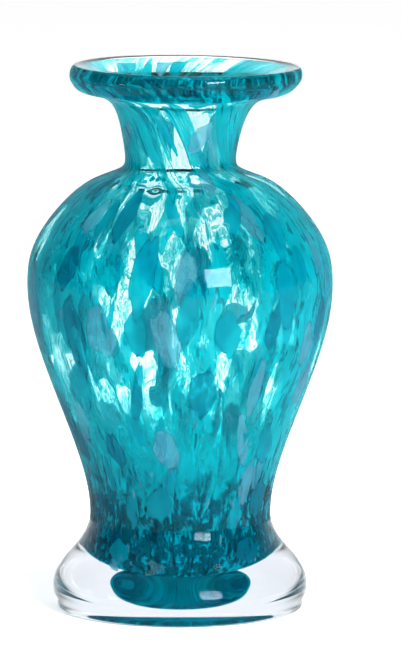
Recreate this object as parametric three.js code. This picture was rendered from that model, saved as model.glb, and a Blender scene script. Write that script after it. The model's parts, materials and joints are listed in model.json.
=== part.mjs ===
// A hand-blown, cased art-glass vase, about 205 mm tall. Millimetres, +Z up; the vase stands on z = 0 and
// its axis is the Z axis, apart from the neck and lip, which lean a little to +X as the blower left them.
//
// It is built in the order that it is blown:
//   inner_gather   the first clear bubble, whose inside is the vase's cavity
//   color_film     the thin streaked film of fused fine color powder on that bubble
//   chip_*         the crushed color chips that the bubble picked up, each one a piece of glass
//   clear_casing   the second clear gather, which cases the color and turns round the lip's edge
//   applied_foot   the clear foot that is dropped on hot and pressed into a disc
import * as THREE from 'three';

// Driving dimensions
const FACETS = 36; // flats round every blown piece
const STATIONS = 33; // rings up the wall, from the base's centre to the lip
const CREASE_HEIGHT = 167; // the jack line, where the neck meets the shoulder
const LIP_HEIGHT = 205; // the crown of the lip
const LIP_LEAN = 2.6; // how far the lip's centre stands to +X
const LIP_TILT = 0.012; // the lip's fall towards +X, as a slope
const JOINT_GAP = 0.3; // clearance between glass pieces that touch

// Depths through the wall, from 0 at the outer skin to 1 at the cavity
const CASING_INNER = 0.36;
const CHIP_DEPTHS = [0.43, 0.52];
const FILM_DEPTHS = [0.645, 0.72];
const GATHER_OUTER = 0.79;

// The wall's two skins as [radius, height], from the base's centre to the lip. Both lists hold the same
// stations, so a blend of the two is a surface inside the wall.
const outerSkin = curveThrough([
  [0, 6.4], [14, 6.5], [26, 7.8], [32.2, 14], [34.1, 34.5], // base, heel and waist
  [38.2, 57.6], [44.8, 75.6], [51.5, 93.7], [56, 110], [57.3, 123], // body up to its widest
  [55.9, 134.5], [50.6, 145.2], [42.7, 154.7], [33, 162], [23.4, 166], // shoulder
  [20.9, 168.5], [21.1, 174], [22.3, 180], [24.5, 187], // neck
  [28, 191.8], [34.5, 194.2], [40, 195.9], [43.1, 199.4], // underside of the lip
]);
const cavitySkin = curveThrough([
  [0, 12.8], [12.5, 12.9], [23.6, 13.9], [27.7, 18.5], [29, 37.5],
  [33.4, 59.5], [40.2, 77], [47, 94.8], [51.6, 110], [52.9, 122.5],
  [51.4, 132.8], [46.5, 142.2], [39, 150.9], [29.6, 158], [20.3, 162.8],
  [16.3, 168], [16.2, 174], [17.2, 180.8], [19.4, 187.8],
  [23, 193.8], [28.5, 198.8], [34.8, 202.9], [40.6, 204.7],
]);
// The rounded edge of the lip, from its underside to its crown, and the casing's face inside the lip
const LIP_EDGE = [[43.5, 200.8], [43.55, 202.3], [43.1, 203.8], [42.3, 204.7], [41.7, LIP_HEIGHT]];
const LIP_JOINT = [[41.1, LIP_HEIGHT], [41.6, 201.8]];
// The foot's skin, from its collar at the waist down to the ring that it rests on
const FOOT_SKIN = [
  [34.75, 32], [36.4, 28.2], [39.5, 23.7], [43.5, 19.1], [46.5, 14.6], [47.9, 10],
  [47.9, 7], [47.4, 4.8], [46.75, 2.8], [46.4, 1.3], [46, 0.35], [45.1, 0],
];
const FOOT_COLLAR = [34.5, 34.2]; // the collar's top edge, outside
const COLLAR_RING = 6; // the ring of the wall where the collar's inside leaves the casing
// The shallow dome that is ground and polished into the foot's underside
const DOME_RADIUS = 35;
const DOME_HEIGHT = 4.5;
const DOME_POWER = 3; // 2 would be a parabola; a higher power has a flatter top and a steeper rim
const DOME_STEPS = 8; // rings of the dome

// The color chips: rows up the wall. at is how far along the wall the row lies, from 0 at the base's centre
// to 1 at the lip. Lengths run up the wall and widths run round it.
const CHIP_ROWS = [
  { row: 'base', at: 0.065, count: 3, halfLength: 6, halfWidth: 6, lean: 0 },
  { row: 'heel', at: 0.16, count: 4, halfLength: 7, halfWidth: 5.5, lean: 0 },
  { row: 'waist', at: 0.245, count: 5, halfLength: 9, halfWidth: 5, lean: 0.1 },
  { row: 'lower_body', at: 0.335, count: 6, halfLength: 9.5, halfWidth: 5.5, lean: -0.1 },
  { row: 'body', at: 0.43, count: 6, halfLength: 10.5, halfWidth: 6.5, lean: 0.08 },
  { row: 'belly', at: 0.525, count: 7, halfLength: 10.5, halfWidth: 6.5, lean: -0.06 },
  { row: 'shoulder', at: 0.615, count: 7, halfLength: 9.5, halfWidth: 6, lean: 0.12 },
  { row: 'collar', at: 0.7, count: 5, halfLength: 9, halfWidth: 4.5, lean: 0.15 },
  { row: 'neck', at: 0.868, count: 4, halfLength: 6.5, halfWidth: 4, lean: 0.45 },
  { row: 'lip', at: 0.945, count: 5, halfLength: 5, halfWidth: 5.5, lean: 0.3 },
];
const CHIP_SIDES = 10; // points round a chip's outline
const CHIP_RAGGED = 0.14; // how far an outline wanders, as a share of its width
const GOLDEN_ANGLE = Math.PI * (3 - Math.sqrt(5));

const clearGlass = glass(0xeaf3f5, 0.35);
const filmGlass = glass(0x5cc6d6, 0.6);
const chipGlass = [glass(0x06aebd, 0.8), glass(0x04849a, 0.85), glass(0x7fd3e2, 0.7)];

function glass(color, opacity) {
  return new THREE.MeshStandardMaterial({ color, roughness: 0.05, metalness: 0, transparent: true, opacity });
}

function curveThrough(points) {
  return new THREE.SplineCurve(points.map(([r, z]) => new THREE.Vector2(r, z)));
}

// A point of the wall at a share of its length and a depth through it.
function wallPoint(share, depth) {
  return outerSkin.getPoint(share).lerp(cavitySkin.getPoint(share), depth);
}

// The rings of one surface inside the wall, from the base's centre up to the share given.
function wallRings(depth, upTo = 1) {
  const rings = [];
  for (let i = 0; i <= STATIONS; i++) rings.push(wallPoint(Math.min(i / STATIONS, upTo), depth));
  return rings;
}

// The blower's lean: above the crease the glass drifts to +X, and the lip falls a little that way.
function lean(geometry) {
  const position = geometry.getAttribute('position');
  for (let i = 0; i < position.count; i++) {
    const x = position.getX(i);
    const z = position.getZ(i);
    const rise = Math.max(0, (z - CREASE_HEIGHT) / (LIP_HEIGHT - CREASE_HEIGHT)) ** 2;
    position.setX(i, x + LIP_LEAN * rise);
    position.setZ(i, z - LIP_TILT * x * rise);
  }
  return geometry;
}

// A solid of revolution about Z whose first meridian faces -Y.
function turned(profile) {
  return new THREE.LatheGeometry(profile, FACETS).rotateX(Math.PI / 2);
}

function toVectors(points) {
  return points.map(([r, z]) => new THREE.Vector2(r, z));
}

function clearCasing() {
  const inside = wallRings(CASING_INNER, 0.985).reverse();
  const profile = [...wallRings(0), ...toVectors(LIP_EDGE), ...toVectors(LIP_JOINT), ...inside];
  return lean(turned(profile));
}

function colorFilm() {
  const [outside, inside] = FILM_DEPTHS.map((depth) => wallRings(depth, 0.985));
  return lean(turned([...outside, ...inside.reverse()]));
}

function innerGather() {
  return lean(turned([...wallRings(GATHER_OUTER), ...wallRings(1).reverse()]));
}

// The foot is dished on top to hold the base of the casing, its collar thins out up to the waist, and it is
// domed underneath.
function appliedFoot() {
  const dome = [];
  for (let i = 0; i <= DOME_STEPS; i++) {
    const out = i / DOME_STEPS;
    dome.push(new THREE.Vector2(DOME_RADIUS * out, DOME_HEIGHT * (1 - out ** DOME_POWER)));
  }
  const dish = [];
  for (let i = 0; i <= COLLAR_RING; i++) {
    const at = wallPoint(i / STATIONS, 0);
    const along = wallPoint((i + 0.05) / STATIONS, 0).sub(at).normalize();
    dish.push(new THREE.Vector2(at.x + along.y * JOINT_GAP, at.y - along.x * JOINT_GAP));
  }
  dish[0].x = 0;
  const collar = new THREE.Vector2(...FOOT_COLLAR);
  return turned([...dome, ...toVectors(FOOT_SKIN).reverse(), collar, ...dish.reverse()]);
}

// Chips lie between the casing's and the film's flats, so their points follow the same rings and flats.
const seam = [0, 1].map((depth) => wallRings(depth));
const seamMiddle = seam[0].map((ring, i) => ring.clone().lerp(seam[1][i], 0.5));
const seamLengths = [0];
for (let i = 1; i <= STATIONS; i++) {
  seamLengths.push(seamLengths[i - 1] + seamMiddle[i].distanceTo(seamMiddle[i - 1]));
}
const WALL_LENGTH = seamLengths[STATIONS];

function seamPoint(length, bearing, depth) {
  const next = Math.min(STATIONS, Math.max(1, seamLengths.findIndex((l) => l > length)));
  const part = (length - seamLengths[next - 1]) / (seamLengths[next] - seamLengths[next - 1]);
  const [outer, inner] = seam.map((rings) => rings[next - 1].clone().lerp(rings[next], part));
  const { x: radius, y: height } = outer.lerp(inner, depth);
  const flat = (2 * Math.PI) / FACETS;
  const offMiddle = ((bearing % flat) + flat) % flat - flat / 2;
  const onFlat = (radius * Math.cos(flat / 2)) / Math.cos(offMiddle);
  return new THREE.Vector3(onFlat * Math.sin(bearing), -onFlat * Math.cos(bearing), height);
}

// One chip: a thin petal of glass that follows the wall. Each face is a fan round its middle with a ring of
// triangles outside it, and the rim joins the two faces.
function chip({ at, halfLength, halfWidth, lean: slant }, bearing, phase) {
  const middle = at * WALL_LENGTH;
  const radius = seamMiddle[seamLengths.findIndex((l) => l > middle)].x;
  const face = [[0, 0]];
  for (const size of [0.5, 1]) {
    for (let k = 0; k < CHIP_SIDES; k++) {
      const turn = (2 * Math.PI * k) / CHIP_SIDES;
      const along = size * halfLength * Math.cos(turn);
      const across = size * halfWidth * Math.sin(turn) * (1 + CHIP_RAGGED * Math.sin(3 * turn + phase));
      face.push([along, across + along * slant]);
    }
  }
  const positions = [];
  for (const depth of CHIP_DEPTHS) {
    for (const [along, across] of face) {
      positions.push(...seamPoint(middle + along, bearing + across / radius, depth).toArray());
    }
  }
  const triangles = [];
  const back = face.length;
  for (let k = 1; k <= CHIP_SIDES; k++) {
    const next = (k % CHIP_SIDES) + 1;
    const [rim, rimNext] = [k + CHIP_SIDES, next + CHIP_SIDES];
    triangles.push(0, next, k, k, next, rim, next, rimNext, rim);
    triangles.push(back, back + k, back + next);
    triangles.push(back + k, back + rim, back + next, back + next, back + rim, back + rimNext);
    triangles.push(rim, rimNext, back + rim, rimNext, back + rimNext, back + rim);
  }
  const geometry = new THREE.BufferGeometry();
  geometry.setAttribute('position', new THREE.Float32BufferAttribute(positions, 3));
  geometry.setIndex(triangles);
  return lean(geometry);
}

function named(name, geometry, material) {
  const mesh = new THREE.Mesh(geometry, material);
  mesh.name = name;
  return mesh;
}

function chips() {
  const group = new THREE.Group();
  CHIP_ROWS.forEach((row, i) => {
    for (let k = 0; k < row.count; k++) {
      const bearing = i * GOLDEN_ANGLE + (2 * Math.PI * k) / row.count;
      const material = chipGlass[(i + k) % chipGlass.length];
      group.add(named(`chip_${row.row}_${k + 1}`, chip(row, bearing, i + 2 * k), material));
    }
  });
  return group;
}

const vase = new THREE.Group();
vase.add(
  named('clear_casing', clearCasing(), clearGlass),
  named('color_film', colorFilm(), filmGlass),
  named('inner_gather', innerGather(), clearGlass),
  named('applied_foot', appliedFoot(), clearGlass),
  chips(),
);

export default vase;
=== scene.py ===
"""Looks for a hand-blown, cased art-glass vase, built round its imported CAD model.

The clear glass is one optical body in three pieces: the casing, the inner gather and the foot. Where
they are fused to each other their faces let light straight through, and only the faces that meet air
refract. The color lies between the casing and the gather, as a streaked film and as chips, shards, frit
and grains of glass.
"""

import json
import math

import bpy
import numpy as np
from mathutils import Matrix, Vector


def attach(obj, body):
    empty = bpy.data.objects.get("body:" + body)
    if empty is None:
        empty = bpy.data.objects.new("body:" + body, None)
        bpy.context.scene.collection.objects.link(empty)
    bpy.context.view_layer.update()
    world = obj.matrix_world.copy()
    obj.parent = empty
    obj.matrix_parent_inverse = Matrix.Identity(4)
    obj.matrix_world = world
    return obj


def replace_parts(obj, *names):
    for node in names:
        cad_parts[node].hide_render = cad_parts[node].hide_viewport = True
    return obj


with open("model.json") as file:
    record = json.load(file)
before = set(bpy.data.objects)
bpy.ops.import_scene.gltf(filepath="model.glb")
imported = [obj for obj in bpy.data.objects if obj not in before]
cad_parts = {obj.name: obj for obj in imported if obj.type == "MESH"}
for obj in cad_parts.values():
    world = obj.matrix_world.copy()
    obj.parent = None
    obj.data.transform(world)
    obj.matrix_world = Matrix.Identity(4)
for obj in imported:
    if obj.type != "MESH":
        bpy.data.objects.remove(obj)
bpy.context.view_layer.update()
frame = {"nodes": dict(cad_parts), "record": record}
MM = 0.001

# --- Sizes, in millimetres -----------------------------------------------------------------------------

# The vase's two skins, as (radius, height) from the base's centre to the lip
OUTER_SKIN = [
    (0, 6.4), (14, 6.5), (26, 7.8), (32.2, 14), (34.1, 34.5),
    (38.2, 57.6), (44.8, 75.6), (51.5, 93.7), (56, 110), (57.3, 123),
    (55.9, 134.5), (50.6, 145.2), (42.7, 154.7), (33, 162), (23.4, 166),
    (20.9, 168.5), (21.1, 174), (22.3, 180), (24.5, 187),
    (28, 191.8), (34.5, 194.2), (40, 195.9), (43.1, 199.4),
]
CAVITY_SKIN = [
    (0, 12.8), (12.5, 12.9), (23.6, 13.9), (27.7, 18.5), (29, 37.5),
    (33.4, 59.5), (40.2, 77), (47, 94.8), (51.6, 110), (52.9, 122.5),
    (51.4, 132.8), (46.5, 142.2), (39, 150.9), (29.6, 158), (20.3, 162.8),
    (16.3, 168), (16.2, 174), (17.2, 180.8), (19.4, 187.8),
    (23, 193.8), (28.5, 198.8), (34.8, 202.9), (41, 204.95),
]
LIP_EDGE = [
    (43.1, 199.4), (43.5, 200.8), (43.55, 202.3), (43.2, 203.7), (42.4, 204.7), (41.7, 205), (41, 204.95),
]
FOOT_SKIN = [
    (34.75, 32), (36.4, 28.2), (39.5, 23.7), (43.5, 19.1), (46.5, 14.6), (47.9, 10),
    (47.9, 7), (47.4, 4.8), (46.75, 2.8), (46.4, 1.3), (46, 0.35), (45.1, 0),
]
DOME_RADIUS, DOME_HEIGHT, DOME_POWER = 35.0, 4.5, 3.0
COLLAR_HEIGHT, CREASE_HEIGHT, LIP_HEIGHT = 34.2, 167.0, 205.0
LIP_LEAN, LIP_TILT = 2.6, 0.012

# How deep the layers lie in the wall, from 0, the outer skin, to 1, the cavity
CASING_INNER, GATHER_OUTER = 0.36, 0.79
FILM_DEPTHS = (0.645, 0.72)
CHIP_DEPTH = 0.475

# The fineness of the meshes: points round each ring, and steps from ring to ring up each surface
SEGMENTS = 160
SKIN_STEP, COLLAR_STEP, FILM_STEP, SEAM_STEP = 1.1, 1.5, 2.0, 4.0
LIP_POINTS, FOOT_POINTS, DOME_POINTS, UNDERSIDE_POINTS = 25, 70, 30, 12
CROWN = 20  # the lip point where the casing and the gather meet

# Swells in the skins: (size, how many go round, height over which the phase drifts by a radian, phase)
OUTER_SWELLS = [(0.10, 2, 31, 0), (0.07, 3, -17, 1.3), (0.035, 7, 11, 0.4)]
OUTER_FADE = 20
CAVITY_SWELLS = [(0.16, 3, 23, 2.1), (0.10, 8, 29, 0)]
CAVITY_FADE, MOUTH_FADE = 16, 6
# Flutes up the cavity: (size, how many go round, how far the phase sways, height of the sway, phase)
CAVITY_FLUTES = [(0.06, 17, 1.5, 19, 0.7), (0.035, 29, 2.0, 13, 0.2)]

# The even bubble that was blown out into the vase. Its color was drawn out where the wall is narrow.
FLOW_RADIUS = 45.0
FLOW_DEPTH = 0.6
FLOW_FULL_RADIUS, FLOW_LEAST, FLOW_POWER = 48.0, 0.35, 0.8
FLOW_SAMPLES, LENGTH_SAMPLES = 400, 2000
NECK_TWIST, TWIST_LEAD = 0.019, 12.0

# --- Shape ---------------------------------------------------------------------------------------------


def smooth_curve(points, knots):
    """The smooth cubic curve through points at knots, as a function of an array of knot values."""
    points, knots = np.asarray(points, float), np.asarray(knots, float)
    gap = np.diff(knots)
    slope = np.diff(points, axis=0) / gap[:, None]
    size = len(points)
    system, right = np.eye(size), np.zeros_like(points)
    for i in range(1, size - 1):
        system[i, i - 1 : i + 2] = gap[i - 1], 2 * (gap[i - 1] + gap[i]), gap[i]
        right[i] = 6 * (slope[i] - slope[i - 1])
    bend = np.linalg.solve(system, right)

    def at(values):
        values = np.clip(np.asarray(values, float), knots[0], knots[-1])
        i = np.clip(np.searchsorted(knots, values, side="right") - 1, 0, size - 2)
        a, b = (knots[i + 1] - values)[:, None], (values - knots[i])[:, None]
        h = gap[i][:, None]
        return (
            (bend[i] * a**3 + bend[i + 1] * b**3) / (6 * h)
            + (points[i] / h - bend[i] * h / 6) * a
            + (points[i + 1] / h - bend[i + 1] * h / 6) * b
        )

    return at


def lengths_along(points):
    """The distance along a line of points, from its first to each one."""
    steps = np.linalg.norm(np.diff(np.asarray(points, float), axis=0), axis=1)
    return np.concatenate([[0], np.cumsum(steps)])


def up_to(last, step):
    """Distances from 0 to last, about step apart."""
    return np.linspace(0, last, max(2, int(round(last / step)) + 1))


BEYOND_AXIS = 3


def through_axis(points):
    """The points with a few repeated on the axis's other side, so that a curve is level where it crosses."""
    return [(-r, z) for r, z in points[BEYOND_AXIS:0:-1]] + list(points)


outer_line, cavity_line = through_axis(OUTER_SKIN), through_axis(CAVITY_SKIN)
MID_KNOTS = lengths_along((np.array(outer_line) + np.array(cavity_line)) / 2)
MID_KNOTS -= MID_KNOTS[BEYOND_AXIS]
WALL_LENGTH = MID_KNOTS[-1]
outer_curve = smooth_curve(outer_line, MID_KNOTS)
cavity_curve = smooth_curve(cavity_line, MID_KNOTS)


def length_at(height):
    """How far up the wall its outer skin reaches a height."""
    lengths = np.linspace(0, WALL_LENGTH, LENGTH_SAMPLES)
    return float(np.interp(height, outer_curve(lengths)[:, 1], lengths))


def wall(length, depth):
    """(radius, height) at distances up the mid-wall, at a depth from 0, the outer skin, to 1, the cavity."""
    depth = np.asarray(depth, float)
    depth = depth[:, None] if depth.ndim else depth
    return outer_curve(length) * (1 - depth) + cavity_curve(length) * depth


COLLAR_LENGTH, CREASE_LENGTH = length_at(COLLAR_HEIGHT), length_at(CREASE_HEIGHT)
FLOW_LENGTHS = np.linspace(0, WALL_LENGTH, FLOW_SAMPLES)
FLOW_RADII = wall(FLOW_LENGTHS, FLOW_DEPTH)[:, 0]
FLOW_DRAWN = np.clip(FLOW_RADII[1:] / FLOW_FULL_RADIUS, FLOW_LEAST, 1) ** FLOW_POWER
FLOW_CLIMB = np.concatenate([[0], np.cumsum(FLOW_DRAWN * np.diff(FLOW_LENGTHS))])


def flow(lengths, bearings):
    """Where points of the wall lay on the even bubble. Color that follows it narrows at the base and neck,
    runs long up the neck and twists there."""
    turn = bearings + NECK_TWIST * np.clip(lengths - CREASE_LENGTH + TWIST_LEAD, 0, None)
    climb = np.interp(lengths, FLOW_LENGTHS, FLOW_CLIMB)
    return np.stack([FLOW_RADIUS * np.sin(turn), -FLOW_RADIUS * np.cos(turn), climb], -1)


def lean_at(heights):
    """How much of the lip's lean there is at each height."""
    return np.clip((heights - CREASE_HEIGHT) / (LIP_HEIGHT - CREASE_HEIGHT), 0, None) ** 2


def leaned(points):
    """The points with the neck and lip drifting to +X above the crease, as the blower left them."""
    share = lean_at(points[..., 2])
    moved = points.copy()
    moved[..., 0] += LIP_LEAN * share
    moved[..., 2] -= LIP_TILT * points[..., 0] * share
    return moved


def placed(profile, bearing):
    """Points in space for profile points at bearings from -Y towards +X."""
    r, z = profile[..., 0], profile[..., 1]
    return leaned(np.stack([r * np.sin(bearing), -r * np.cos(bearing), z + 0 * bearing], -1))


def swells(shapes, z, bearings):
    """The sum of broad swells that drift round as they climb."""
    return sum(size * np.sin(count * bearings + z / drift + phase) for size, count, drift, phase in shapes)


def outer_wave(point, bearings):
    """The slight unevenness of the outer skin."""
    radius, z = point
    return min(1.0, radius / OUTER_FADE) * swells(OUTER_SWELLS, z, bearings)


def cavity_wave(point, bearings):
    """The cavity is rougher than the outer skin, with shallow flutes that run up it."""
    radius, z = point
    fade = min(1.0, radius / CAVITY_FADE) * min(1.0, (LIP_HEIGHT - z) / MOUTH_FADE)
    push = swells(CAVITY_SWELLS, z, bearings)
    for size, count, sway, sway_height, phase in CAVITY_FLUTES:
        push = push + size * np.sin(count * bearings + sway * np.sin(z / sway_height) + phase)
    return fade * push


# --- Meshes --------------------------------------------------------------------------------------------


def mesh_object(name, points, faces, materials, indices):
    """A smooth-shaded piece, from points in millimetres, that rides on the vase's one body."""
    mesh = bpy.data.meshes.new(name)
    mesh.from_pydata((np.asarray(points) * MM).tolist(), [], faces)
    for material in materials:
        mesh.materials.append(material)
    mesh.polygons.foreach_set("material_index", np.asarray(indices, np.int32))
    mesh.polygons.foreach_set("use_smooth", np.ones(len(faces), bool))
    mesh.update()
    piece = bpy.data.objects.new(name, mesh)
    bpy.context.scene.collection.objects.link(piece)
    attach(piece, "root")
    return piece


def store_vector(piece, name, values):
    """Gives each point of a piece a vector that its material can read."""
    attribute = piece.data.attributes.new(name, "FLOAT_VECTOR", "POINT")
    attribute.data.foreach_set("vector", np.asarray(values, np.float32).ravel())


def store_number(piece, name, values):
    """Gives each point of a piece a number that its material can read."""
    attribute = piece.data.attributes.new(name, "FLOAT", "POINT")
    attribute.data.foreach_set("value", np.asarray(values, np.float32))


def with_tips(rings):
    """The rows of all rings in one list, with the first and last ring, which are one spot, as one row."""
    return np.vstack([rings[0][:1], *rings[1:-1], rings[-1][:1]])


def faces_between(ring_count, sides, first=0):
    """The faces that join rings whose points follow on from first. The two end rings are single points."""
    counts = [1] + [sides] * (ring_count - 2) + [1]
    faces, start = [], first
    for here, there in zip(counts, counts[1:]):
        end = start + here
        for k in range(sides):
            n = (k + 1) % sides
            if here == 1:
                faces.append((start, end + n, end + k))
            elif there == 1:
                faces.append((start + k, start + n, end))
            else:
                faces.append((start + k, start + n, end + n, end + k))
        start = end
    return faces


ON_AXIS, SAME_SPOT = 0.01, 1e-9
BEARINGS = np.linspace(0, 2 * np.pi, SEGMENTS, endpoint=False)


def turned_rings(profile, wave):
    """One ring of points in space for each point of a profile, pushed outwards by wave."""
    profile = np.asarray(profile, float)
    along = np.gradient(profile, axis=0)
    along /= np.maximum(np.linalg.norm(along, axis=1), SAME_SPOT)[:, None]
    rings = []
    for point, (along_r, along_z) in zip(profile, along):
        ring = np.repeat(point[None], SEGMENTS, 0)
        if wave is not None and point[0] > ON_AXIS:
            ring = ring + wave(point, BEARINGS)[:, None] * np.array([along_z, -along_r])
        rings.append(placed(ring, BEARINGS))
    return rings


def turned_piece(name, stretches, materials):
    """A closed piece turned about Z. stretches are (profile points, material index, wave), from the axis
    back to the axis, each starting where the last one ends."""
    rings, ring_indices = [], []
    for profile, index, wave in stretches:
        stretch = turned_rings(profile, wave)
        fresh = stretch[1:] if rings else stretch
        rings += fresh
        ring_indices += [index] * len(fresh)
    faces = faces_between(len(rings), SEGMENTS)
    indices = np.repeat(ring_indices[1:], SEGMENTS)
    return mesh_object(name, with_tips(rings), faces, materials, indices)


# --- Materials -----------------------------------------------------------------------------------------

GLASS_IOR = 1.5


class Sums:
    """Makes the nodes of one material or world, each from sockets or plain values."""

    def __init__(self, tree):
        self.tree = tree

    def node(self, kind, inputs=(), output=0, **settings):
        node = self.tree.nodes.new(kind)
        for name, value in settings.items():
            setattr(node, name, value)
        for name, value in dict(inputs).items():
            if isinstance(value, bpy.types.NodeSocket):
                self.tree.links.new(value, node.inputs[name])
            else:
                node.inputs[name].default_value = value
        return node.outputs[output]

    def show(self, shader):
        """Makes a shader the one that the surface shows."""
        output = self.tree.nodes.new("ShaderNodeOutputMaterial")
        self.tree.links.new(shader, output.inputs["Surface"])

    def mixed(self, share, first, second):
        """Two shaders mixed, with this share of the second one."""
        return self.node("ShaderNodeMixShader", {0: share, 1: first, 2: second})

    def vector_attribute(self, name):
        return self.node("ShaderNodeAttribute", attribute_name=name, output="Vector")

    def number_attribute(self, name):
        return self.node("ShaderNodeAttribute", attribute_name=name, output="Fac")

    def math(self, operation, a, b):
        return self.node("ShaderNodeMath", {0: a, 1: b}, operation=operation)

    def plus(self, a, b):
        return self.math("ADD", a, b)

    def times(self, a, b):
        return self.math("MULTIPLY", a, b)

    def scaled(self, vector, scale=(1, 1, 1), offset=(0, 0, 0)):
        return self.node("ShaderNodeMapping", {"Vector": vector, "Scale": scale, "Location": offset})

    def noise(self, vector, scale, detail=2.0, roughness=0.5, output="Fac"):
        inputs = {"Vector": vector, "Scale": scale, "Detail": detail, "Roughness": roughness}
        return self.node("ShaderNodeTexNoise", inputs, output)

    def ramp(self, value, low, high, out_low=0.0, out_high=1.0):
        """A smooth step from out_low, where the value is low, to out_high, where it is high."""
        inputs = {"Value": value, "From Min": low, "From Max": high, "To Min": out_low, "To Max": out_high}
        return self.node("ShaderNodeMapRange", inputs, interpolation_type="SMOOTHSTEP")

    def warped(self, vector, scale, amount):
        """The vector pushed about, up to about amount, by noise that lies about a half."""
        push = self.noise(vector, scale, detail=1.0, output="Color")
        push = self.node("ShaderNodeVectorMath", {0: push, 1: (0.5, 0.5, 0.5)}, operation="SUBTRACT")
        push = self.node("ShaderNodeVectorMath", {0: push, "Scale": amount * 2}, operation="SCALE")
        return self.node("ShaderNodeVectorMath", {0: vector, 1: push}, operation="ADD")

    def passed(self, color, depth):
        """What is left of white light behind glass that passes color through a layer one deep."""
        return self.node("ShaderNodeGamma", {"Color": (*color, 1), "Gamma": depth})

    def colored_glass(self, depth, color, albedo, cloudy):
        """A face of colored glass. Light crosses two faces, so each takes half of the depth. The glass is
        clear where cloudy is 0, and the cloudier it is the more it scatters light."""
        passes = self.passed(color, self.times(depth, 0.5))
        through = self.node("ShaderNodeBsdfTransparent", {"Color": passes})
        back = self.node("ShaderNodeBsdfDiffuse", {"Color": (*albedo, 1)})
        forth = self.node("ShaderNodeBsdfTranslucent", {"Color": (*albedo, 1)})
        return self.mixed(cloudy, through, self.mixed(0.5, back, forth))


def new_material(name):
    """An empty material, and what makes its nodes."""
    material = bpy.data.materials.new(name)
    material.use_nodes = True
    material.node_tree.nodes.clear()
    return material, Sums(material.node_tree)


def clear_material(name, tint=(1, 1, 1), mirrored=0.17, unmirrored=0.0):
    """Clear glass. mirrored is the strength of its reflections face on, and the unmirrored share of it lets
    light through without mirroring anything."""
    material, n = new_material(name)
    surface = n.node("ShaderNodeBsdfPrincipled", {
        "Base Color": (*tint, 1),
        "Roughness": 0.0,
        "Specular Tint": (mirrored, mirrored, mirrored, 1),
        "IOR": GLASS_IOR,
        "Transmission Weight": 1.0,
    })
    if unmirrored > 0:
        refracted = n.node("ShaderNodeBsdfRefraction", {"Roughness": 0.0, "IOR": GLASS_IOR})
        surface = n.mixed(unmirrored, surface, refracted)
    n.show(surface)
    return material


def fused_material(name):
    """The faces where two pieces of clear glass are fused, which don't show."""
    material, n = new_material(name)
    n.show(n.node("ShaderNodeBsdfTransparent"))
    return material


# What the film passes where it is one deep, and what it scatters
FILM_COLOR, FILM_ALBEDO = (0.02, 0.665, 0.73), (0.0, 0.9, 0.98)
# How deep the film is: its masses and their dark parts, the streaks and threads, the windows between them,
# and where color ran together, which at the front of the lip is also painted shade
MASS_DEPTH, DARK_DEPTH = 0.65, 1.5
STREAK_DEPTH, THREAD_DEPTH = 0.36, 0.34
WINDOW_DEPTH, POOL_AND_LIP_SHADE_DEPTH = 0.02, 3.9
# The share of the streaks and threads that shows in the quiet parts, and how much more in the busy ones
QUIET_SHARE, BUSY_SHARE = 0.1, 0.8
# How far each pattern is drawn out up the wall, as the scale of its height
MASSES_DRAWN, DARK_DRAWN, STREAKS_DRAWN, CHIPS_DRAWN = (1, 1, 0.42), (1, 1, 0.16), (1, 1, 0.12), (1, 1, 0.18)
POOLS_AND_LIP_SHADE_DRAWN = (1, 1, 1.1)


def film_masses(n, place, dark):
    """How deep the crisp masses of teal are. Their dark parts are deepest."""
    long = n.scaled(place, MASSES_DRAWN)
    spread = n.noise(n.warped(long, scale=0.2, amount=1.2), scale=0.07, detail=1.5, roughness=0.45)
    # The stored cover spreads the masses further by height, and towards the vase's two sides as painted
    # shade
    masses = n.ramp(n.plus(spread, n.number_attribute("covered_and_side_shade")), low=0.594, high=0.606)
    tone = n.ramp(n.noise(long, scale=0.09), low=0.3, high=0.7, out_low=0.8, out_high=1.2)
    return n.times(masses, n.plus(n.times(tone, MASS_DEPTH), n.times(dark, DARK_DEPTH)))


def film_threads(n, place, fine):
    """How deep the streaks and threads are that were drawn out up the wall between the masses."""
    streaks = n.ramp(n.noise(fine, scale=0.42, roughness=0.55), low=0.52, high=0.575)
    threads = n.ramp(n.noise(fine, scale=1.7, roughness=0.55), low=0.53, high=0.57)
    busy = n.ramp(n.noise(n.scaled(place, MASSES_DRAWN), scale=0.05, detail=1.0), low=0.38, high=0.56)
    thin = n.plus(n.times(streaks, STREAK_DEPTH), n.times(threads, THREAD_DEPTH))
    return n.times(thin, n.plus(n.times(busy, BUSY_SHARE), QUIET_SHARE))


def film_pools_and_lip_shade(n, place):
    """How much of the film is color that ran together, in the base and lip, with painted shade at the front
    of the lip.
    """
    rough = n.warped(n.scaled(place, POOLS_AND_LIP_SHADE_DRAWN), scale=0.3, amount=3.0)
    clumps = n.noise(rough, scale=0.22, detail=3.0, roughness=0.65)
    uneven = n.ramp(clumps, low=0.36, high=0.6, out_low=0.4, out_high=1.15)
    return n.times(n.number_attribute("pooled_and_lip_shade"), uneven)


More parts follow.
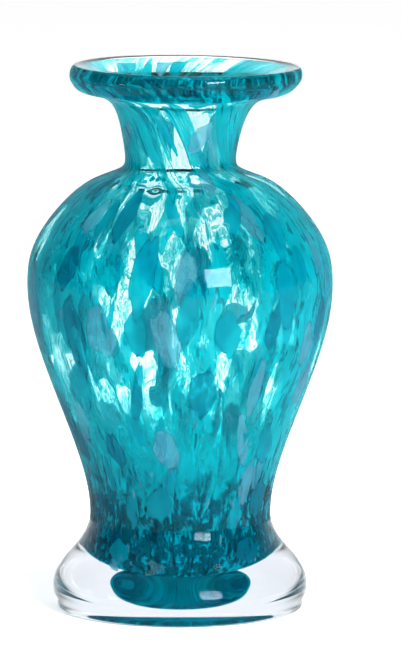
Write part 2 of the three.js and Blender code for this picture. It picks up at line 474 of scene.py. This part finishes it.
def film_material(name):
    """Fused powder on the bubble: crisp masses of teal, streaks and threads between them, and clear gaps,
    with painted shade as extra color at the vase's two sides and at the front of its lip.
    """
    material, n = new_material(name)
    place = n.warped(n.vector_attribute("flow"), scale=0.045, amount=5.0)
    fine = n.scaled(n.warped(place, scale=0.25, amount=1.0), STREAKS_DRAWN)
    clumps = n.noise(n.scaled(place, DARK_DRAWN), scale=0.4, detail=3.0, roughness=0.65)
    dark = n.ramp(clumps, low=0.5, high=0.62)
    feathers = n.noise(n.scaled(fine, offset=(31, 17, 5)), scale=0.6, detail=3.0, roughness=0.65)
    feathered = n.ramp(feathers, low=0.54, high=0.62, out_low=1.0, out_high=0.35)
    dense = n.times(film_masses(n, place, dark), feathered)
    depth = n.plus(n.math("MAXIMUM", dense, film_threads(n, place, fine)), WINDOW_DEPTH)
    pool_and_lip_shade = film_pools_and_lip_shade(n, place)
    depth = n.plus(n.times(depth, n.math("SUBTRACT", 1.0, pool_and_lip_shade)), n.times(pool_and_lip_shade, POOL_AND_LIP_SHADE_DEPTH))
    cloudiness = n.ramp(pool_and_lip_shade, low=0.0, high=0.7, out_low=0.6, out_high=0.04)
    cloudiness = n.times(cloudiness, n.ramp(dark, low=0.0, high=1.0, out_low=1.0, out_high=0.15))
    n.show(n.colored_glass(depth, FILM_COLOR, FILM_ALBEDO, n.times(depth, cloudiness)))
    return material


def chip_material(name, color, albedo, cloudiness):
    """A chip of colored glass, thinner towards its rim, with streaks where it was drawn out."""
    material, n = new_material(name)
    place = n.vector_attribute("flow")
    streaks = n.noise(n.scaled(place, CHIPS_DRAWN), scale=0.55, detail=3.0, roughness=0.6)
    clouds = n.noise(place, scale=0.16, detail=1.5)
    streaked = n.ramp(streaks, low=0.3, high=0.7, out_low=0.6, out_high=0.8)
    clouded = n.ramp(clouds, low=0.3, high=0.7, out_low=0.0, out_high=0.15)
    rim = n.ramp(n.number_attribute("rim"), low=0.86, high=1.0, out_low=1.0, out_high=0.8)
    depth = n.times(n.times(n.plus(streaked, clouded), rim), n.number_attribute("tone"))
    n.show(n.colored_glass(depth, color, albedo, n.times(depth, cloudiness)))
    return material


CHIP_LOOKS = {  # what a chip passes, what it scatters, and how cloudy it is
    "teal_chip": ((0.012, 0.67, 0.75), (0.001, 0.84, 0.96), 0.42),
    "deep_teal_chip": ((0.003, 0.52, 0.63), (0.001, 0.62, 0.76), 0.4),
    "pale_chip": ((0.4, 0.82, 0.9), (0.42, 0.88, 1.0), 0.36),
}
glass = clear_material("clear_glass")
casing_glass = clear_material("casing_glass", mirrored=1.0, unmirrored=0.8)
foot_glass = clear_material("foot_glass", tint=(0.84, 0.88, 0.93))
fused = fused_material("fused_joint")
film_glass = film_material("film_glass")
chip_glass = {slot: chip_material(slot, *look) for slot, look in CHIP_LOOKS.items()}

# --- Casing and gather -----------------------------------------------------------------------------------

lip_curve = smooth_curve(LIP_EDGE, lengths_along(LIP_EDGE))
lip_points = lip_curve(np.linspace(0, lengths_along(LIP_EDGE)[-1], LIP_POINTS))
seam_lengths = up_to(WALL_LENGTH, SEAM_STEP)[:-1]
below_collar = up_to(COLLAR_LENGTH, COLLAR_STEP)
above_collar = np.linspace(COLLAR_LENGTH, WALL_LENGTH, int((WALL_LENGTH - COLLAR_LENGTH) / SKIN_STEP))

casing_outside = np.vstack([wall(above_collar, 0)[:-1], lip_points[: CROWN + 1]])
casing_inside = np.vstack([lip_points[CROWN], wall(seam_lengths, CASING_INNER)[::-1]])
casing = turned_piece(
    "glass_casing",
    [(wall(below_collar, 0), 1, None), (casing_outside, 0, outer_wave), (casing_inside, 1, None)],
    [casing_glass, fused],
)
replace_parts(casing, "clear_casing")

gather_outside = np.vstack([wall(seam_lengths, GATHER_OUTER), lip_points[CROWN]])
gather_inside = np.vstack([lip_points[CROWN:], wall(up_to(WALL_LENGTH, SKIN_STEP), 1)[-2::-1]])
gather = turned_piece(
    "glass_gather",
    [(gather_outside, 1, None), (gather_inside, 0, cavity_wave)],
    [glass, fused],
)
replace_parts(gather, "inner_gather")

# --- Color film ------------------------------------------------------------------------------------------

# How far short of the wall's end the film's last rings lie, and how it thickens towards them: from where,
# over what distance, and by how much of the wall on its two faces
FILM_LAST_RINGS = (3, 2, 1, 0.4)
FILM_EVEN_END = 4
LIP_SPREAD_START, LIP_SPREAD_FADE, LIP_SPREAD = 6, 4, (-0.22, 0.05)
# How much further the masses of color reach, by height, and towards the vase's two sides. The extra color
# towards the sides is painted shade, which darkens the vase's left and right as the camera sees them
COVER_HEIGHTS = (30, 50, 65, 90, 110, 150, 172, 190, 197, 203)
COVER = (0.04, 0, -0.03, -0.025, 0, 0, 0.055, 0.055, -0.01, -0.01)
PAINTED_SIDE_SHADE, PAINTED_SIDE_SHADE_POWER = 0.23, 1.5
AXIS_RADIUS = 1  # within this, the film faces no side
# The color that ran together in the base: its share, its top, how far down it builds up, and how it thins
# towards the axis
BASE_POOL, BASE_POOL_TOP, BASE_POOL_FADE, BASE_POOL_POWER = 0.9, 78, 42, 1.3
BASE_POOL_RADIUS, BASE_POOL_LEAST = 24, 0.4
# The color that ran together in the lip: where it starts, how much lower at the front, over what height,
# and its share at the back. The front of the lip's band, lower and fuller than the back, is painted shade
LIP_POOL_START, LIP_FRONT_SHADE_DROP, LIP_POOL_FADE, LIP_POOL_BACK = 203, 6.5, 2, 0.3


def film_pooled_and_lip_shade(radii, heights, front):
    """How much of the color at each point of the film ran together there, with painted shade added at the
    front of the lip.
    """
    rise = np.clip((BASE_POOL_TOP - heights) / BASE_POOL_FADE, 0, 1) ** BASE_POOL_POWER
    base = BASE_POOL * rise * np.clip(radii / BASE_POOL_RADIUS, BASE_POOL_LEAST, 1)
    # At the front the lip's band starts lower and takes its full share: painted shade
    lip = np.clip((heights - LIP_POOL_START + LIP_FRONT_SHADE_DROP * front) / LIP_POOL_FADE, 0, 1)
    return np.maximum(base, lip * (LIP_POOL_BACK + (1 - LIP_POOL_BACK) * front))


last_rings = WALL_LENGTH - np.array(FILM_LAST_RINGS)
film_rings = np.append(up_to(WALL_LENGTH - FILM_EVEN_END, FILM_STEP), last_rings)
lip_share = np.clip((film_rings - WALL_LENGTH + LIP_SPREAD_START) / LIP_SPREAD_FADE, 0, 1)
film_outside, film_inside = [
    wall(film_rings, depth + spread * lip_share) for depth, spread in zip(FILM_DEPTHS, LIP_SPREAD)
]
film = turned_piece(
    "glass_film",
    [(film_outside, 0, None), (film_inside[::-1], 0, None)],
    [film_glass],
)
film_lengths = np.concatenate([film_rings, film_rings[-2::-1]])
store_vector(film, "flow", with_tips([flow(np.full(SEGMENTS, length), BEARINGS) for length in film_lengths]))
film_x, film_y, film_heights = (np.array([v.co for v in film.data.vertices]) / MM).T
film_radii = np.maximum(np.hypot(film_x, film_y), AXIS_RADIUS)
# How far each point of the film faces a side, and how far it faces the front, from 0 to 1. They place the
# painted shade at the two sides and at the front of the lip
film_aside, film_front = np.abs(film_x) / film_radii, 0.5 - 0.5 * film_y / film_radii
# The side term is painted shade: more color where the film faces the vase's left and right
cover_and_side_shade = np.interp(film_heights, COVER_HEIGHTS, COVER) + PAINTED_SIDE_SHADE * film_aside**PAINTED_SIDE_SHADE_POWER
store_number(film, "pooled_and_lip_shade", film_pooled_and_lip_shade(film_radii, film_heights, film_front))
store_number(film, "covered_and_side_shade", cover_and_side_shade)
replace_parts(film, "color_film")

# --- Chips, shards, frit and grains ----------------------------------------------------------------------

CHIP_SIDES = 26
CHIP_RINGS = (0.35, 0.7, 0.9)
# A chip's rings, as (how far out, which face), from the middle of its outer face to that of its inner one
CHIP_LEVELS = [
    (0, 1), *((out, 1) for out in CHIP_RINGS), (1, 0), *((out, -1) for out in reversed(CHIP_RINGS)), (0, -1),
]
# A chip's ragged outline, as (waves round it, size), with phases drawn from about one turn
RAGGED_WAVES = ((2, 0.10), (3, 0.10), (5, 0.08), (8, 0.05), (11, 0.04))
RAGGED_STRENGTH, RAGGED_PHASE = (0.4, 1), (0, 6.28)
CHIP_TAPER = 0.4
BASE_MARGIN, LIP_MARGIN = 0.5, 3.5
# The length up the wall below which color pools in the base, and hardly any chips show
BARE_BASE = 30.0
BARE_TONE = 0.08
CHIP_SEED = 7

# The CAD chips, row by row: half length, half width and slant, and how far each may vary
CHIP_SIZES = {
    "base": (6, 6, 0),
    "heel": (7, 5.5, 0),
    "waist": (9, 5, 0.1),
    "lower_body": (9.5, 5.5, -0.1),
    "body": (10.5, 6.5, 0.08),
    "belly": (10.5, 6.5, -0.06),
    "shoulder": (9.5, 6, 0.12),
    "collar": (9, 4.5, 0.15),
    "neck": (6.5, 4, 0.45),
    "lip": (5, 5.5, 0.3),
}
CHIP_LONG, CHIP_WIDE, CHIP_TONES = (0.8, 1.05), (0.6, 1.0), (0.85, 1.15)
CHIP_THICKNESS = 0.09

# The smaller chips between them: how many of each color are thrown, half length, half width, depth in the
# wall, thickness, strength of color, and how far up the wall they are kept
SCATTERS = {
    "shards": ((72, 20, 30), (8, 17), (2.2, 5), (0.42, 0.60), 0.05, (0.8, 1.3), WALL_LENGTH),
    "frit": ((110, 40, 50), (2, 6), (0.5, 1.2), (0.40, 0.61), 0.03, (0.5, 1.0), WALL_LENGTH),
    "grains": ((420, 360, 540), (1, 4), (0.35, 1.0), (0.38, 0.62), 0.03, (0.5, 1.3), 75),
}
FULL_SIZE_RADIUS, LEAST_RADIUS = 50, 8
LEAST_LONG, LEAST_HALF_WIDTH = 0.6, 0.5
SLANT_SPREAD, NECK_SLANT = 0.16, 0.45


def chip_points(draw, length, bearing, half_length, half_width, slant, depth, thickness):
    """One chip's points, their flow, and how far out each is."""
    turns = np.arange(CHIP_SIDES) * 2 * np.pi / CHIP_SIDES
    ragged = 1.0
    for waves, size in RAGGED_WAVES:
        strength = draw.uniform(*RAGGED_STRENGTH) * size
        ragged = ragged + strength * np.sin(waves * turns + draw.uniform(*RAGGED_PHASE))
    along = half_length * np.cos(turns) * ragged
    across = half_width * np.sin(turns) * np.abs(np.sin(turns)) ** CHIP_TAPER * ragged + slant * along
    radius = np.interp(length, FLOW_LENGTHS, FLOW_RADII)
    points, flows, outs = [], [], []
    for out, side in CHIP_LEVELS:
        lengths = np.clip(length + out * along, BASE_MARGIN, WALL_LENGTH - LIP_MARGIN)
        bearings = bearing + out * across / radius
        depths = np.full(CHIP_SIDES, depth - side * thickness / 2 * math.sqrt(1 - out**4))
        points.append(placed(wall(lengths, depths), bearings))
        flows.append(flow(lengths, bearings))
        outs.append(np.full((CHIP_SIDES, 1), float(out)))
    return with_tips(points), with_tips(flows), with_tips(outs)


def chips_piece(name, slot, draw, chips):
    """One piece of many chips, each (length up the wall, bearing, half length, half width, slant, depth,
    thickness, tone)."""
    points, flows, outs, tones, faces = [], [], [], [], []
    for *shape, tone in chips:
        chip, chip_flow, out = chip_points(draw, *shape)
        faces += faces_between(len(CHIP_LEVELS), CHIP_SIDES, first=sum(map(len, points)))
        points.append(chip)
        flows.append(chip_flow)
        outs.append(out[:, 0])
        tones.append(np.full(len(chip), tone))
    piece = mesh_object(name, np.vstack(points), faces, [chip_glass[slot]], np.zeros(len(faces)))
    store_vector(piece, "flow", np.vstack(flows))
    store_number(piece, "rim", np.concatenate(outs))
    store_number(piece, "tone", np.concatenate(tones))
    return piece


def cad_chip(node, draw):
    """The shape of a CAD chip, from where its node is and the size of its row."""
    co = np.array([v.co for v in frame["nodes"][node].data.vertices]) / MM
    x, y, z = co.mean(0)
    x -= LIP_LEAN * lean_at(z)
    middle = wall(FLOW_LENGTHS, CHIP_DEPTH)
    length = FLOW_LENGTHS[np.argmin(np.hypot(middle[:, 0] - math.hypot(x, y), middle[:, 1] - z))]
    half_length, half_width, slant = CHIP_SIZES[node.removeprefix("chip_").rsplit("_", 1)[0]]
    half_length *= draw.uniform(*CHIP_LONG)
    half_width *= draw.uniform(*CHIP_WIDE)
    tone = draw.uniform(*CHIP_TONES) * (BARE_TONE if length < BARE_BASE else 1)
    return (length, math.atan2(x, -y), half_length, half_width, slant, CHIP_DEPTH, CHIP_THICKNESS, tone)


def scattered(draw, count, long, wide, depths, thickness, tones):
    """Chips thrown evenly over the blown wall: as many for each millimetre of skin."""
    share = np.cumsum(np.clip(FLOW_RADII, LEAST_RADIUS, None))
    chips = []
    for i in range(count):
        spot = (i + draw.uniform(0, 1)) / count * share[-1]
        length = float(np.interp(spot, share, FLOW_LENGTHS))
        if length < BARE_BASE:
            continue
        scale = np.interp(length, FLOW_LENGTHS, FLOW_RADII) / FULL_SIZE_RADIUS
        half_length = draw.uniform(*long) * max(LEAST_LONG, scale)
        slant = draw.normal(0, SLANT_SPREAD) - (NECK_SLANT if length > CREASE_LENGTH else 0)
        half_width = max(LEAST_HALF_WIDTH, draw.uniform(*wide) * scale)
        bearing = draw.uniform(0, 2 * math.pi)
        depth = draw.uniform(*depths)
        tone = draw.uniform(*tones)
        chips.append((length, bearing, half_length, half_width, slant, depth, thickness, tone))
    return chips


draw = np.random.default_rng(CHIP_SEED)
node_slots = {part["node"]: part["material_slot"] for part in frame["record"]["subparts"]}
for slot in CHIP_LOOKS:
    nodes = [node for node, its_slot in node_slots.items() if its_slot == slot]
    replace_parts(chips_piece(f"chips_{slot}", slot, draw, [cad_chip(node, draw) for node in nodes]), *nodes)
for kind, (counts, *ranges, highest) in SCATTERS.items():
    for slot, count in zip(CHIP_LOOKS, counts):
        chips = [chip for chip in scattered(draw, count, *ranges) if chip[0] <= highest]
        chips_piece(f"{kind}_{slot}", slot, draw, chips)

# --- Foot ------------------------------------------------------------------------------------------------

foot_line = [tuple(wall(np.array([COLLAR_LENGTH]), 0)[0])] + FOOT_SKIN
foot_curve = smooth_curve(foot_line, lengths_along(foot_line))
foot_skin = foot_curve(np.linspace(0, lengths_along(foot_line)[-1], FOOT_POINTS))
underside = np.array([(r, 0.0) for r in np.linspace(DOME_RADIUS, FOOT_SKIN[-1][0], UNDERSIDE_POINTS)])
dome_radii = np.linspace(0, DOME_RADIUS, DOME_POINTS)
dome = np.array([(r, DOME_HEIGHT * (1 - (r / DOME_RADIUS) ** DOME_POWER)) for r in dome_radii])
foot_outside = np.vstack([dome, underside[1:], foot_skin[::-1][1:]])
foot = turned_piece(
    "glass_foot",
    [(foot_outside, 0, None), (wall(below_collar, 0)[::-1], 1, None)],
    [foot_glass, fused],
)
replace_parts(foot, "applied_foot")

# --- Floor and light, in metres --------------------------------------------------------------------------

FLOOR_SIZE, FLOOR_DROP = 6, 0.0002
FLOOR_COLOR, FLOOR_GLOW = (0.95, 0.95, 0.95, 1), 0.53
LIGHT_AIM, LIGHT_DISTANCE = Vector((0, 0, 0.12)), 1.5
# Each softbox's azimuth from -Y towards +X and elevation, in degrees, its width and height, and its radiance
SOFTBOXES = {
    "key_softbox": (29, 17, 0.52, 0.62, 48),
    "top_softbox": (8, 76, 1.5, 0.13, 6.5),
    "side_softbox": (-62, -2, 0.3, 0.3, 10),
}


def floor_paper():
    """White paper that glows a little, as if lit evenly from all round."""
    material, n = new_material("floor_paper")
    paper = n.node("ShaderNodeBsdfDiffuse", {"Color": FLOOR_COLOR})
    glow = n.node("ShaderNodeEmission", {"Strength": FLOOR_GLOW})
    n.show(n.node("ShaderNodeAddShader", {0: paper, 1: glow}))
    return material


def studio_world():
    """White surroundings, bright behind the vase and above it, and nearly dark behind the camera."""
    world = bpy.data.worlds.new("studio")
    world.use_nodes = True
    n = Sums(world.node_tree)
    direction = n.node("ShaderNodeTexCoord", output="Generated")
    back = n.node("ShaderNodeSeparateXYZ", {"Vector": direction}, output="Y")
    up = n.node("ShaderNodeSeparateXYZ", {"Vector": direction}, output="Z")
    behind = n.ramp(back, low=0.25, high=0.8, out_low=0.04, out_high=1.06)
    above = n.ramp(up, low=0.45, high=0.85, out_low=0.0, out_high=0.35)
    background = world.node_tree.nodes["Background"]
    background.inputs["Color"].default_value = (1, 1, 1, 1)
    world.node_tree.links.new(n.plus(behind, above), background.inputs["Strength"])
    return world


def softbox(name, azimuth, elevation, width, height, radiance):
    """A soft studio light that faces the vase."""
    data = bpy.data.lights.new(name, "AREA")
    data.shape, data.size, data.size_y = "RECTANGLE", width, height
    data.energy = radiance * math.pi * width * height
    light = bpy.data.objects.new(name, data)
    a, e = math.radians(azimuth), math.radians(elevation)
    out = Vector((math.sin(a) * math.cos(e), -math.cos(a) * math.cos(e), math.sin(e)))
    light.location = LIGHT_AIM + LIGHT_DISTANCE * out
    light.rotation_euler = out.to_track_quat("Z", "Y").to_euler()
    bpy.context.scene.collection.objects.link(light)


bpy.ops.mesh.primitive_plane_add(size=FLOOR_SIZE, location=(0, 0, -FLOOR_DROP))
floor = bpy.context.object
floor.name = "floor"
floor.data.materials.append(floor_paper())
bpy.context.scene.world = studio_world()
for name, setup in SOFTBOXES.items():
    softbox(name, *setup)

# --- Camera and view -------------------------------------------------------------------------------------

CAMERA_DISTANCE, CAMERA_ELEVATION = 2.4, math.radians(8)
AIM = Vector((0.0076, 0, 0.1035))
# The height at the vase that the upright picture takes in, and the sensor that lies along that height
VIEW_HEIGHT, SENSOR_MM = 0.251544, 36
CLIP_START = 0.05

camera_data = bpy.data.cameras.new("camera")
camera_data.sensor_width = SENSOR_MM
camera_data.lens = SENSOR_MM * CAMERA_DISTANCE / VIEW_HEIGHT
camera_data.clip_start = CLIP_START
camera = bpy.data.objects.new("camera", camera_data)
away = Vector((0, -math.cos(CAMERA_ELEVATION), math.sin(CAMERA_ELEVATION)))
camera.location = AIM + CAMERA_DISTANCE * away
camera.rotation_euler = (math.pi / 2 - CAMERA_ELEVATION, 0, 0)
bpy.context.scene.collection.objects.link(camera)
bpy.context.scene.camera = camera

scene = bpy.context.scene
scene.view_settings.view_transform = "Standard"
scene.view_settings.gamma = 0.85
scene.cycles.max_bounces = 32
scene.cycles.transmission_bounces = 32
scene.cycles.glossy_bounces = 8
scene.cycles.diffuse_bounces = 3
scene.cycles.transparent_max_bounces = 96
scene.cycles.use_denoising = True
